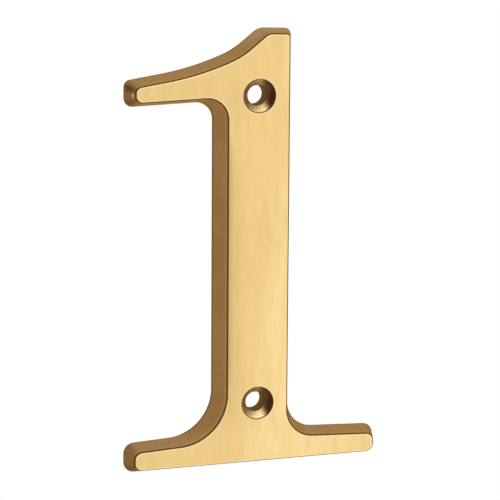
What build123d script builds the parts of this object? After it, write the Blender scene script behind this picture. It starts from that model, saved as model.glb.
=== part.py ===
from build123d import *
from math import atan2, tan
import os

os.makedirs("parts", exist_ok=True)

# House numeral 1: one brass casting with bevelled sides, flat face and flat back.
# Millimetres. The back lies in the plane Y = 0, against the wall, and the face looks along -Y.
# The origin is midway between the two screw holes. +Z is up and +X is to the right as read.

# Overall sizes, measured at the back, where the casting is largest
height = 76.0
foot_width = 45.92
thickness = 4.0

# Width of the stem at the face, where it is centred on the screw holes
stem_width = 10.8

# Foot: two arms that taper from the stem to their ends
foot_end_height = 5.12
foot_root_height = 5.9

# Crown and flag, with their heights given downwards from the top. The crown falls a little to the
# right, and its sharp corner stands higher than the top by what the shoulder's rounding takes off.
# The flag's top climbs from the tip in a long shallow curve, the rise, and then in a tighter one,
# the sweep.
crown_width = 5.93
crown_fall = 0.2
shoulder_cut = 0.0345
sweep_drop = 3.62
sweep_reach = 3.57
rise_drop = 6.5
rise_reach = 10.8
flag_reach = 22.65
tip_drop = 8.35
tip_height = 4.45
flag_root_drop = 12.26

# Bevels: how far each side leans in from the back to the face
stem_left_bevel = 1.75
stem_right_bevel = 1.48
foot_left_end_bevel = 1.0
foot_right_end_bevel = 1.28
foot_bottom_bevel = 1.2
foot_top_bevel = 0.8
crown_bevel = 0.72
flag_top_bevel = 1.0
flag_end_bevel = 1.1
flag_under_bevel = 1.03

# Outer corners, rounded at the face by these radii
foot_corner_radius = 1.4
crown_corner_radius = 0.6
shoulder_radius = 2.4

# Inner corners, rounded at the back by these radii
sweep_radius = 14.0
flag_root_radius = 2.9
left_bracket_radius = 8.2
right_bracket_radius = 4.6

# How much larger an outer corner's radius is at the back, and an inner corner's at the face
radius_growth = 0.5

# Radius of the flag's root at the face, where it grows by more than the other inner corners
flag_root_face_radius = 3.8

# Corners of the flag's end at the back
tip_top_radius = 1.25
tip_bottom_radius = 1.55

# Short straights left between the rise and the sweep, and on the flag's end at the face
rise_straight = 0.1
tip_straight = 0.3

# Arris that polishing has left round the face
arris_radius = 0.35

# Countersunk holes for small wood screws, on the stem's centreline
screw_hole_radius = 1.7
countersink_radius = 2.95
countersink_angle = 82.0
lower_hole_margin = 11.55
upper_hole_margin = 11.15

hole_spacing = height - lower_hole_margin - upper_hole_margin
bottom = -lower_hole_margin - hole_spacing / 2
top = bottom + height
crown_left = top + shoulder_cut
crown_right = crown_left - crown_fall
stem_left = -stem_width / 2 - stem_left_bevel
stem_right = stem_width / 2 + stem_right_bevel
foot_side = foot_width / 2
foot_end = bottom + foot_end_height
foot_root = bottom + foot_root_height
tip_top = top - tip_drop

# Sharp corners of the back's outline, counter-clockwise as the numeral is read:
# x, z, and the bevel of the side that leaves the corner
corners = {
    "foot left": (-foot_side, bottom, foot_bottom_bevel),
    "foot right": (foot_side, bottom, foot_right_end_bevel),
    "right arm": (foot_side, foot_end, foot_top_bevel),
    "right bracket": (stem_right, foot_root, stem_right_bevel),
    "crown": (stem_right, crown_right, crown_bevel),
    "shoulder": (stem_right - crown_width, crown_left, flag_top_bevel),
    "sweep": (-sweep_reach, top - sweep_drop, flag_top_bevel),
    "rise": (-rise_reach, top - rise_drop, flag_top_bevel),
    "tip top": (-flag_reach, tip_top, flag_end_bevel),
    "tip bottom": (-flag_reach, tip_top - tip_height, flag_under_bevel),
    "flag root": (stem_left, top - flag_root_drop, stem_left_bevel),
    "left bracket": (stem_left, foot_root, foot_top_bevel),
    "left arm": (-foot_side, foot_end, foot_left_end_bevel),
}
names = list(corners)

# The two levels between which the sides are ruled
BACK = 0
FACE = 1


def neighbours(name):
    """The corners before and after this one."""
    place = names.index(name)
    return names[place - 1], names[(place + 1) % len(names)]


def side_direction(name):
    """Unit vector along the side that leaves a corner."""
    after = neighbours(name)[1]
    return (Vector(*corners[after][:2]) - Vector(*corners[name][:2])).normalized()


def half_turn(name):
    """Tangent of half the angle that the outline turns at a corner: negative at an inner corner."""
    arriving, leaving = side_direction(neighbours(name)[0]), side_direction(name)
    return tan(atan2(arriving.cross(leaving).Z, arriving.dot(leaving)) / 2)


def outline_corner(name, level):
    """A sharp corner of the outline: at the face, its two sides have moved in by their bevels."""
    before = neighbours(name)[0]
    arriving, leaving = side_direction(before), side_direction(name)
    arriving_inset = corners[before][2] * level
    leaving_inset = corners[name][2] * level
    along = (arriving_inset * arriving.dot(leaving) - leaving_inset) / arriving.cross(leaving).Z
    inwards = Vector(-arriving.Y, arriving.X)
    return Vector(*corners[name][:2]) + inwards * arriving_inset + arriving * along


def side_length(name, level):
    """Length between sharp corners of the side that leaves a corner."""
    return (outline_corner(neighbours(name)[1], level) - outline_corner(name, level)).length


def rise_radius(level):
    """The rise takes up all of its side that the sweep and the short straight leave."""
    sweep_length = radii["sweep"][level] * -half_turn("sweep")
    rise_length = side_length("sweep", level) - sweep_length - rise_straight
    return rise_length / -half_turn("rise")


# Radius of each corner, at the back and at the face
outer_radii = {
    "foot left": foot_corner_radius,
    "foot right": foot_corner_radius,
    "right arm": foot_corner_radius,
    "crown": crown_corner_radius,
    "shoulder": shoulder_radius,
    "left arm": foot_corner_radius,
}
inner_radii = {
    "right bracket": right_bracket_radius,
    "sweep": sweep_radius,
    "left bracket": left_bracket_radius,
}
tip_rounded = side_length("tip top", FACE) - tip_straight
tip_face_radius = tip_rounded / (half_turn("tip top") + half_turn("tip bottom"))

radii = {name: (radius + radius_growth, radius) for name, radius in outer_radii.items()}
radii |= {name: (radius, radius + radius_growth) for name, radius in inner_radii.items()}
radii["flag root"] = (flag_root_radius, flag_root_face_radius)
radii["rise"] = (rise_radius(BACK), rise_radius(FACE))
radii["tip top"] = (tip_top_radius, tip_face_radius)
radii["tip bottom"] = (tip_bottom_radius, tip_face_radius)


def outline_at(level):
    """The rounded outline at the back or at the face."""
    with BuildSketch(Plane.XZ.offset(thickness * level)) as outline:
        with BuildLine():
            points = [outline_corner(name, level) for name in names]
            FilletPolyline(*points, radius=[radii[name][level] for name in names], close=True)
        make_face()
    return outline.sketch


with BuildPart() as numeral_one:
    # The bevelled body, ruled from the back's outline to the smaller outline of the face
    loft(sections=[outline_at(BACK), outline_at(FACE)], ruled=True)
    face = numeral_one.faces().sort_by(Axis.Y)[0]
    fillet(face.outer_wire().edges(), radius=arris_radius)

    # Screw holes drilled and countersunk from the face
    with Locations(Plane.XZ.offset(thickness)):
        with Locations((0, -hole_spacing / 2), (0, hole_spacing / 2)):
            CounterSinkHole(screw_hole_radius, countersink_radius, counter_sink_angle=countersink_angle)

numeral_one.part.label = "numeral_one"
export_step(numeral_one.part, "parts/numeral_one.step")
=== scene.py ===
from math import cos, pi, radians, sin

import bpy
from mathutils import Matrix, Vector


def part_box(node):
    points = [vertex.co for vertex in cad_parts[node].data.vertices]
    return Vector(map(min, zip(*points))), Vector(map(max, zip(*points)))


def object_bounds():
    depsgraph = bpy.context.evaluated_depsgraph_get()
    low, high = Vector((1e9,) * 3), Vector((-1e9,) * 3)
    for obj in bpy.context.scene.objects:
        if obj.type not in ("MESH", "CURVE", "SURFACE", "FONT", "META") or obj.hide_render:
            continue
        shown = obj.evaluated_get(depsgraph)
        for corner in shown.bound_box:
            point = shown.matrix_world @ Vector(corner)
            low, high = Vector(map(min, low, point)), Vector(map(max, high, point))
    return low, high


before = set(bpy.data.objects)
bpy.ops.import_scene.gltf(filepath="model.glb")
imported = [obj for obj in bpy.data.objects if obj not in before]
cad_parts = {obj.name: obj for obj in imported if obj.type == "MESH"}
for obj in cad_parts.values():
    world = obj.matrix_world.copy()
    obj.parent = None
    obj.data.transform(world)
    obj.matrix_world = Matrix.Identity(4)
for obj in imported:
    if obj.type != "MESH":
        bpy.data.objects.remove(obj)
cad_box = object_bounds()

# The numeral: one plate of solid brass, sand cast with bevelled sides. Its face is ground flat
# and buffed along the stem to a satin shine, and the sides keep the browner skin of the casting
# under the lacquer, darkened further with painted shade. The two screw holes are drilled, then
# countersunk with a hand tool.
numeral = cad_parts["numeral_one"]
thickness = -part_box("numeral_one")[0].y
hole_height = 0.02665
mouth_radius = 0.00295
bore_radius = 0.0017


class Shade:
    """A socket of a shader. Sums, differences and products of sockets add their Math nodes."""

    def __init__(self, tree, socket=None):
        self.tree = tree
        self.socket = socket

    def node(self, kind, settings=None, inputs=None, output=0):
        """A new node: its settings come first, then the values or links of its sockets."""
        new = self.tree.nodes.new(kind)
        for name, value in (settings or {}).items():
            setattr(new, name, value)
        for name, value in (inputs or {}).items():
            if isinstance(value, Shade):
                self.tree.links.new(value.socket, new.inputs[name])
            else:
                new.inputs[name].default_value = value
        return Shade(self.tree, new.outputs[output] if new.outputs else None)

    def math(self, operation, *values):
        return self.node("ShaderNodeMath", {"operation": operation}, dict(enumerate(values)))

    def __add__(self, other):
        return self.math("ADD", self, other)

    def __sub__(self, other):
        return self.math("SUBTRACT", self, other)

    def __mul__(self, other):
        return self.math("MULTIPLY", self, other)

    def __rsub__(self, other):
        return self.math("SUBTRACT", other, self)

    def __neg__(self):
        return self.math("MULTIPLY", self, -1)

    def __abs__(self):
        return self.math("ABSOLUTE", self)

    __radd__ = __add__
    __rmul__ = __mul__

    def rise(self, low, high):
        """0 below low and 1 above high, with a smooth step between them."""
        return self.node(
            "ShaderNodeMapRange",
            {"interpolation_type": "SMOOTHSTEP"},
            {"Value": self, "From Min": low, "From Max": high},
        )

    def fall(self, low, high):
        """1 below low and 0 above high, with a smooth step between them."""
        return 1 - self.rise(low, high)

    def blend(self, first, second, mask):
        """One colour going over into another as the mask rises from 0 to 1."""
        first, second = (c if isinstance(c, Shade) else (*c, 1) for c in (first, second))
        return self.node(
            "ShaderNodeMix", {"data_type": "RGBA"}, {0: mask, 6: first, 7: second}, output=2
        )


def shader_of(material):
    """The material's node tree, emptied."""
    material.use_nodes = True
    material.node_tree.nodes.clear()
    return Shade(material.node_tree)


brass = shader_of(numeral.material_slots[0].material)
place = brass.node("ShaderNodeTexCoord", output="Object")
normal = brass.node("ShaderNodeTexCoord", output="Normal")
x, y, z = (brass.node("ShaderNodeSeparateXYZ", inputs={0: place}, output=axis) for axis in "XYZ")
rightward, backward, upward = (
    brass.node("ShaderNodeSeparateXYZ", inputs={0: normal}, output=axis) for axis in "XYZ"
)


def grain(scale, detail, stretch=(1, 1, 1)):
    """Noise in the metal, drawn out along the axes whose stretch is below 1."""
    stretched = brass.node("ShaderNodeMapping", inputs={"Vector": place, "Scale": stretch})
    return brass.node(
        "ShaderNodeTexNoise", inputs={"Vector": stretched, "Scale": scale, "Detail": detail}
    )


# where the surface is face, side, back or screw hole. Each pair of values in this section says
# where a change begins and where it is complete: in metres for a place, and as a share of 1 for
# the way that the surface looks or for a tone of the grain
face_tilt = (0.985, 0.999)
back_tilt = (0.90, 0.95)
side_start = (0.00018, 0.00024)
mouth_edge = (mouth_radius - 0.00001, mouth_radius + 0.00002)
bore_edge = (bore_radius + 0.00002, bore_radius + 0.00012)
depth = y + thickness
on_face = (-backward).rise(*face_tilt)
on_side = depth.rise(*side_start)
on_back = backward.rise(*back_tilt)
above = z - brass.math("SIGN", z) * hole_height
reach = brass.math("SQRT", x * x + above * above)
in_hole = reach.fall(*mouth_edge) * (1 - on_back) * (1 - on_face)
in_bore = reach.fall(*bore_edge)

# the face: long fine scratches from the buffing wheel over faint broad clouds
buffed_brass = (0.892, 0.642, 0.272)
# the deep tone is both the grain's darker streaks and the painted shade on the left of the stem
buffed_brass_grain_and_shade = (0.735, 0.495, 0.192)
buffed_brass_highlight = (0.965, 0.727, 0.338)
cloud_tones = (0.30, 0.75)
streak_tones = (0.3, 0.7)
cloud_strength = 0.18
broad_streak_strength = 0.18
streak_strength = 0.2
streaks = grain(scale=2600, detail=3, stretch=(1, 1, 0.12))
broad_streaks = grain(scale=700, detail=2, stretch=(1, 1, 0.18))
clouds = grain(scale=150, detail=3, stretch=(1, 1, 0.5))
face_shade = (
    clouds.rise(*cloud_tones) * cloud_strength
    + broad_streaks.rise(*streak_tones) * broad_streak_strength
    + streaks.rise(*streak_tones) * streak_strength
)

# the face's left half: darker along the stem, as painted shade
stem_shade_x = (-0.006, -0.001)
stem_shade_bottom = (-0.034, -0.026)
stem_shade_top = (0.010, 0.022)
stem_shade_strength = 0.75
stem_shade = x.fall(*stem_shade_x) * z.rise(*stem_shade_bottom) * z.fall(*stem_shade_top)

# the face's right half: a painted highlight, paler on the stem and the foot and up to the crown
highlight_slant = 0.12
highlight_stem = (0.0002, 0.0050)
highlight_top = (0.004, 0.028)
highlight_foot = (0.012, 0.022)
highlight_foot_loss = 0.7
highlight_crown = (0.0032, 0.0052)
highlight_crown_bottom = (0.025, 0.031)
highlight_crown_strength = 0.6
highlight_right = (x - z * highlight_slant).rise(*highlight_stem)
face_highlight = highlight_right * z.fall(*highlight_top) * (1 - x.rise(*highlight_foot) * highlight_foot_loss)
face_highlight = face_highlight + x.rise(*highlight_crown) * z.rise(*highlight_crown_bottom) * highlight_crown_strength

# the face's left edge: a narrow band of painted shade along the stem. Its brown is also the
# darker tone of the turning marks in the countersinks
shade_and_ring_brass = (0.480, 0.310, 0.115)
edge_shade_stem = (-0.0052, -0.0043)
edge_shade_bottom = (-0.026, -0.020)
edge_shade_top = (0.017, 0.021)
edge_shade_strength = 0.45
edge_shade = x.fall(*edge_shade_stem) * z.rise(*edge_shade_bottom) * z.fall(*edge_shade_top)

# the mouths of the holes: a bright ring of painted highlight on the face around each
highlight_brass = (1.0, 0.790, 0.430)
mouth_highlight_width = 0.0003
mouth_highlight_strength = 0.6
mouth_highlight = reach.fall(mouth_radius, mouth_radius + mouth_highlight_width)

face_colour = brass.blend(buffed_brass, buffed_brass_grain_and_shade, stem_shade * stem_shade_strength)
face_colour = brass.blend(face_colour, buffed_brass_highlight, face_highlight)
face_colour = brass.blend(face_colour, shade_and_ring_brass, edge_shade * edge_shade_strength)
face_colour = brass.blend(face_colour, buffed_brass_grain_and_shade, face_shade)
face_colour = brass.blend(face_colour, highlight_brass, mouth_highlight * mouth_highlight_strength)

# the arris: a painted highlight where it looks up or down, and like the face along the stem
arris_tilt = (0.02, 0.08)
arris_colour = brass.blend(face_colour, highlight_brass, abs(upward).rise(*arris_tilt))

# the sides: the skin of the casting, darkened with painted shade, paler in patches, golden at
# the face and grey at the back
cast_and_shaded_brass = (0.330, 0.180, 0.061)
cast_brass_pale = (0.355, 0.203, 0.078)
cast_brass_dark = (0.230, 0.118, 0.038)
cast_brass_gold = (0.430, 0.248, 0.090)
cast_brass_grey = (0.115, 0.078, 0.045)
blotch_tones = (0.35, 0.70)
skin_tones = (0.45, 0.80)
skin_strength = 0.25
golden_depth = (0.0004, 0.0014)
golden_strength = 0.6
pale_back = (-0.0012, -0.0004)
pale_back_strength = 0.3
grey_back = (-0.0006, -0.0002)
grey_back_strength = 0.6
skin = grain(scale=1300, detail=4)
blotches = grain(scale=230, detail=3)
side_colour = brass.blend(cast_and_shaded_brass, cast_brass_pale, blotches.rise(*blotch_tones))
side_colour = brass.blend(side_colour, cast_brass_dark, skin.rise(*skin_tones) * skin_strength)
side_colour = brass.blend(side_colour, cast_brass_gold, depth.fall(*golden_depth) * golden_strength)
side_colour = brass.blend(side_colour, cast_brass_pale, y.rise(*pale_back) * pale_back_strength)
side_colour = brass.blend(side_colour, cast_brass_grey, y.rise(*grey_back) * grey_back_strength)

# the ends of the foot and the flag: browner, and greyer where they look down, as painted shade
end_brass = (0.200, 0.122, 0.055)
end_brass_shade = (0.105, 0.078, 0.048)
end_reach = (0.0208, 0.0222)
end_strength = 0.7
end_shade_tilt = (0.1, 0.7)
end_shade_strength = 0.9
on_end = abs(x).rise(*end_reach)
end_shade = on_end * (-upward).rise(*end_shade_tilt)
side_colour = brass.blend(side_colour, end_brass, on_end * end_strength)
side_colour = brass.blend(side_colour, end_brass_shade, end_shade * end_shade_strength)

# the flag's end: a dark band across it, a painted dark reflection
dark_band_brown = (0.100, 0.056, 0.021)
flag_height = (0.020, 0.022)
dark_band_slant = 0.06
dark_band_bottom = (0.0275, 0.0278)
dark_band_top = (0.0285, 0.0288)
dark_band_depth = (0.0033, 0.0037)
dark_band_strength = 0.85
on_flag_end = on_end * z.rise(*flag_height)
slanted = z - depth * dark_band_slant
across = slanted.rise(*dark_band_bottom) * slanted.fall(*dark_band_top)
dark_band = on_flag_end * across * depth.fall(*dark_band_depth)
side_colour = brass.blend(side_colour, dark_band_brown, dark_band * dark_band_strength)

# the flag's end, below the dark band: a small painted highlight
spot_highlight_brass = (0.520, 0.390, 0.235)
spot_height = 0.0273
spot_depth = 0.0010
spot_radius = (0.0003, 0.0007)
from_spot = abs(z - spot_height) + abs(depth - spot_depth)
side_colour = brass.blend(side_colour, spot_highlight_brass, from_spot.fall(*spot_radius) * on_flag_end)

# the crown and the other level tops: greyer, a painted sheen where they look up, and darker
# towards the arris on the crown
crown_sheen_brass = (0.372, 0.255, 0.145)
top_tilt = (0.86, 0.95)
top_strength = 0.35
crown_height = (0.034, 0.037)
crown_strength = 0.8
crown_dark_depth = (0.0006, 0.0018)
crown_dark_strength = 0.35
on_crown = z.rise(*crown_height)
crown_dark = on_crown * depth.fall(*crown_dark_depth)
side_colour = brass.blend(side_colour, crown_sheen_brass, upward.rise(*top_tilt) * top_strength)
side_colour = brass.blend(side_colour, crown_sheen_brass, on_crown * crown_strength)
side_colour = brass.blend(side_colour, cast_brass_dark, crown_dark * crown_dark_strength)

# the countersinks: turning marks in bright cut brass, with painted shade browner above and on
# the left and dark on the right
cut_brass = (1.0, 0.800, 0.430)
shaded_cut_brass_upper = (0.980, 0.700, 0.420)
shaded_cut_brass_left = (0.800, 0.470, 0.160)
shaded_cut_brass_right = (0.235, 0.128, 0.052)
shaded_cut_brass_darkest = (0.104, 0.052, 0.026)
ring_spacing = 0.0003
ring_strength = 0.2
upper_side = (-0.001, 0.001)
left_side = (0.0004, 0.0016)
left_narrowing = 0.35
right_side = (0.0004, 0.0018)
right_slant = 0.2
darkest = (0.0017, 0.0025)
darkest_slant = 0.2
rings = brass.math("SINE", reach * (2 * pi / ring_spacing)).rise(-1, 1)
on_left = (-x - abs(above) * left_narrowing).rise(*left_side)
on_right = (x + above * right_slant).rise(*right_side)
outermost = (reach - above * darkest_slant).rise(*darkest)
right_shade_colour = brass.blend(shaded_cut_brass_right, shaded_cut_brass_darkest, outermost)
cut_colour = brass.blend(cut_brass, shade_and_ring_brass, rings * ring_strength)
cut_colour = brass.blend(cut_colour, shaded_cut_brass_upper, above.rise(*upper_side))
cut_colour = brass.blend(cut_colour, shaded_cut_brass_left, on_left)
cut_colour = brass.blend(cut_colour, right_shade_colour, on_right)

# the bores: dark brown, painted shade inside the holes
bore_shade_brown = (0.140, 0.080, 0.036)
cut_colour = brass.blend(cut_colour, bore_shade_brown, in_bore)

# the back: ground flat on a coarse belt, and left as it came off
back_brass = (0.480, 0.315, 0.130)
back_brass_deep = (0.300, 0.180, 0.070)
belt_tones = (0.35, 0.70)
belt_strength = 0.6
back_blotch_tones = (0.35, 0.75)
back_blotch_strength = 0.35
belt_marks = grain(scale=2100, detail=4, stretch=(0.04, 1, 1))
back_shade = (
    belt_marks.rise(*belt_tones) * belt_strength
    + blotches.rise(*back_blotch_tones) * back_blotch_strength
)
back_colour = brass.blend(back_brass, back_brass_deep, back_shade)

colour = brass.blend(arris_colour, side_colour, on_side)
colour = brass.blend(colour, face_colour, on_face)
colour = brass.blend(colour, cut_colour, in_hole)
colour = brass.blend(colour, back_colour, on_back)

# painted shade: a dark brown line along the arris, a painted dark reflection in its curve. It
# begins nearer to the face where the side looks right, is wider at the ends, and is gold under the foot
line_brown = (0.150, 0.068, 0.011)
line_start = (0.00002, 0.00006)
line_end = (0.0003, 0.0004)
line_shift = 0.00002
line_shift_tilt = (0.1, 0.3)
end_widening = 0.00015
underside_tilt = (0.3, 0.7)
foot_top = (-0.034, -0.033)
line_depth = depth + rightward.rise(*line_shift_tilt) * line_shift
end_depth = depth - on_end * end_widening
arris_line = line_depth.rise(*line_start) * end_depth.fall(*line_end) * (1 - in_hole)
under_foot = (-upward).rise(*underside_tilt) * z.fall(*foot_top)

# the same painted dark line inside each countersink's mouth, heavier at the lower right
# and darker at the right, as painted shade
line_dark = (0.040, 0.012, 0.001)
mouth_line_width = 0.00014
mouth_line_blur = 0.0001
mouth_line_least = 0.35
mouth_line_gain = 0.55
mouth_line_slant = 0.6
mouth_line_side = (-0.0012, 0.0008)
mouth_line_dark = (0.0005, 0.0020)
mouth_line_edge = mouth_radius - mouth_line_width
at_mouth = reach.rise(mouth_line_edge - mouth_line_blur, mouth_line_edge)
lower_right = (x - above * mouth_line_slant).rise(*mouth_line_side)
mouth_line = in_hole * at_mouth * (mouth_line_least + lower_right * mouth_line_gain)

# painted shade on the walls that look right: they are drawn matte in their side colour,
# without the shine of the metal
right_shade_tilt = (0.75, 0.90)
right_side_shade = rightward.rise(*right_shade_tilt) * on_side * (1 - in_hole)
lines = arris_line + mouth_line
painted_shade_mask = brass.math("MAXIMUM", lines, right_side_shade)
line_colour = brass.blend(line_brown, line_dark, in_hole * x.rise(*mouth_line_dark))
line_colour = brass.blend(line_colour, cast_brass_gold, under_foot)
painted_shade_colour = brass.blend(side_colour, line_colour, lines)

# relief in metres: the buffing leaves the stem very slightly crowned
camber_width = 0.006
camber_slope = -0.035
streak_depth = 0.0000004
skin_depth = 0.000002
belt_depth = 0.000002
ring_depth = 0.000006
relief = (
    brass.math("SQRT", x * x + camber_width**2) * camber_slope
    + streaks * on_face * streak_depth
    + skin * on_side * skin_depth
    + belt_marks * on_back * belt_depth
    + rings * in_hole * ring_depth
)
bump = brass.node("ShaderNodeBump", inputs={"Strength": 1.0, "Distance": 1.0, "Height": relief})

# how rough the polished arris is, and what each of the other surfaces adds to that
arris_roughness = 0.32
side_roughness = 0.12
face_roughness = -0.06
bore_roughness = 0.1
back_roughness = 0.1
streak_roughness = 0.05
roughness = (
    arris_roughness
    + on_side * side_roughness
    + on_face * face_roughness
    + in_bore * bore_roughness
    + on_back * back_roughness
    + streaks * on_face * streak_roughness
)

# bare metal, warm also where it is seen at a slant, and over it the painted shade, which doesn't shine
slant_tint = (0.86, 0.66, 0.40, 1)
painted_shade_roughness = 0.8
metal = brass.node(
    "ShaderNodeBsdfPrincipled",
    inputs={
        "Metallic": 1.0,
        "Specular Tint": slant_tint,
        "Base Color": colour,
        "Roughness": roughness,
        "Normal": bump,
    },
)
painted_shade_matte = brass.node(
    "ShaderNodeBsdfPrincipled",
    inputs={"Base Color": painted_shade_colour, "Roughness": painted_shade_roughness, "Specular IOR Level": 0.0},
)
surface = brass.node("ShaderNodeMixShader", inputs={0: painted_shade_mask, 1: metal, 2: painted_shade_matte})
brass.node("ShaderNodeOutputMaterial", inputs={"Surface": surface})

# The floor: a wide sheet of white paper, well below the numeral, which hangs clear of it. It
# shows pure white to the camera and in the metal, and lights the numeral as any white paper does.
floor_drop = 0.3
floor_size = 12.0
white = (1, 1, 1, 1)
paper_white = (0.9, 0.9, 0.9, 1)
bpy.ops.object.select_all(action="DESELECT")
bpy.ops.mesh.primitive_plane_add(size=floor_size, location=(0, 0, cad_box[0][2] - floor_drop))
floor = bpy.context.object
floor.name = "floor"
bpy.ops.object.transform_apply(location=True)
floor.data.materials.append(bpy.data.materials.new("white_paper"))


def in_view(shader):
    """1 for a ray from the camera, a reflection or a clear body, and 0 for one that lights."""
    camera_ray, glossy_ray, transmission_ray = (
        shader.node("ShaderNodeLightPath", output=output)
        for output in ("Is Camera Ray", "Is Glossy Ray", "Is Transmission Ray")
    )
    seen = shader.math("MAXIMUM", camera_ray, glossy_ray)
    return shader.math("MAXIMUM", seen, transmission_ray)


paper = shader_of(floor.data.materials[0])
lit_paper = paper.node("ShaderNodeBsdfDiffuse", inputs={"Color": paper_white})
white_paper = paper.node("ShaderNodeEmission", inputs={"Color": white, "Strength": 1.0})
shown_paper = paper.node("ShaderNodeMixShader", inputs={0: in_view(paper), 1: lit_paper, 2: white_paper})
paper.node("ShaderNodeOutputMaterial", inputs={"Surface": shown_paper})

# The black flag: a sheet of felt on a stand at the left of the studio, out of the camera's
# view. Only the metal shows it, as the darker stretches of the sides that face it.
felt_distance = 0.3
felt_reach = 0.16
felt_bottom = -0.33
felt_top = 0.5
felt_black = (0.05, 0.035, 0.022, 1)
bpy.ops.object.select_all(action="DESELECT")
bpy.ops.mesh.primitive_plane_add(
    size=1,
    location=(-felt_distance, -felt_reach / 2, (felt_bottom + felt_top) / 2),
    rotation=(0, pi / 2, 0),
)
black_flag = bpy.context.object
black_flag.name = "black_flag"
black_flag.scale = (felt_top - felt_bottom, felt_reach, 1)
bpy.ops.object.transform_apply(location=True, rotation=True, scale=True)
black_flag.data.materials.append(bpy.data.materials.new("black_felt"))
felt = shader_of(black_flag.data.materials[0])
black_felt = felt.node("ShaderNodeEmission", inputs={"Color": felt_black, "Strength": 1.0})
felt.node("ShaderNodeOutputMaterial", inputs={"Surface": black_felt})
for ray in ("camera", "diffuse", "shadow", "transmission", "volume_scatter"):
    setattr(black_flag, "visible_" + ray, False)

# The lamps: a wide softbox overhead and a low one at the front right, both faint beside the
# white walls of the studio. Turn and rise are degrees to the right and up from the front.
softboxes = {
    "softbox_overhead": {"turn": 25, "rise": 66, "distance": 0.9, "size": 0.9, "glow": 0.8},
    "softbox_right": {"turn": 40, "rise": -22, "distance": 0.75, "size": 0.62, "glow": 0.12},
}
for name, box in softboxes.items():
    turn_right, rise_up = radians(box["turn"]), radians(box["rise"])
    towards = Vector((
        cos(rise_up) * sin(turn_right),
        -cos(rise_up) * cos(turn_right),
        sin(rise_up),
    ))
    lamp = bpy.data.lights.new(name, "AREA")
    lamp.shape = "SQUARE"
    lamp.size = box["size"]
    lamp.energy = box["glow"] * pi * box["size"] ** 2
    softbox = bpy.data.objects.new(name, lamp)
    bpy.context.scene.collection.objects.link(softbox)
    softbox.location = towards * box["distance"]
    softbox.rotation_euler = towards.to_track_quat("Z", "Y").to_euler()

# The studio's walls: white on every side, soft and even. They show pure white to the camera and
# in the metal, and light the numeral at a plain level.
wall_light = 0.6
world = bpy.data.worlds.new("studio")
bpy.context.scene.world = world
walls = shader_of(world)
plain_light = walls.node("ShaderNodeBackground", inputs={"Color": white, "Strength": wall_light})
white_walls = walls.node("ShaderNodeBackground", inputs={"Color": white, "Strength": 1.0})
both = walls.node("ShaderNodeMixShader", inputs={0: in_view(walls), 1: plain_light, 2: white_walls})
walls.node("ShaderNodeOutputWorld", inputs={"Surface": both})

# The camera stands to the left of the numeral and above it, with a long lens. It is placed so
# that the lower edge of the face, at the middle of the foot, falls on its pixel in the picture.
azimuth = radians(18.78)
elevation = radians(10.86)
roll = radians(0.382)
distance = 0.3821
focal_pixels = 2200.0
frame_pixels = 500.0
foot_pixel = (257.02, 461.45)
foot_bevel_rise = 0.00108
foot_middle = Vector((0, -thickness, cad_box[0][2] + foot_bevel_rise))
turn = (
    Matrix.Rotation(-azimuth, 3, "Z")
    @ Matrix.Rotation(pi / 2 - elevation, 3, "X")
    @ Matrix.Rotation(roll, 3, "Z")
)
half_frame = frame_pixels / 2
foot_seen = Vector((
    (foot_pixel[0] - half_frame) / focal_pixels,
    (half_frame - foot_pixel[1]) / focal_pixels,
    -1,
)) * distance
lens = bpy.data.cameras.new("camera")
lens.sensor_width = 36
lens.lens = focal_pixels / frame_pixels * lens.sensor_width
lens.clip_start = 0.01
camera = bpy.data.objects.new("camera", lens)
bpy.context.scene.collection.objects.link(camera)
camera.matrix_world = Matrix.Translation(foot_middle - turn @ foot_seen) @ turn.to_4x4()
bpy.context.scene.camera = camera

bpy.context.scene.view_settings.view_transform = "Standard"
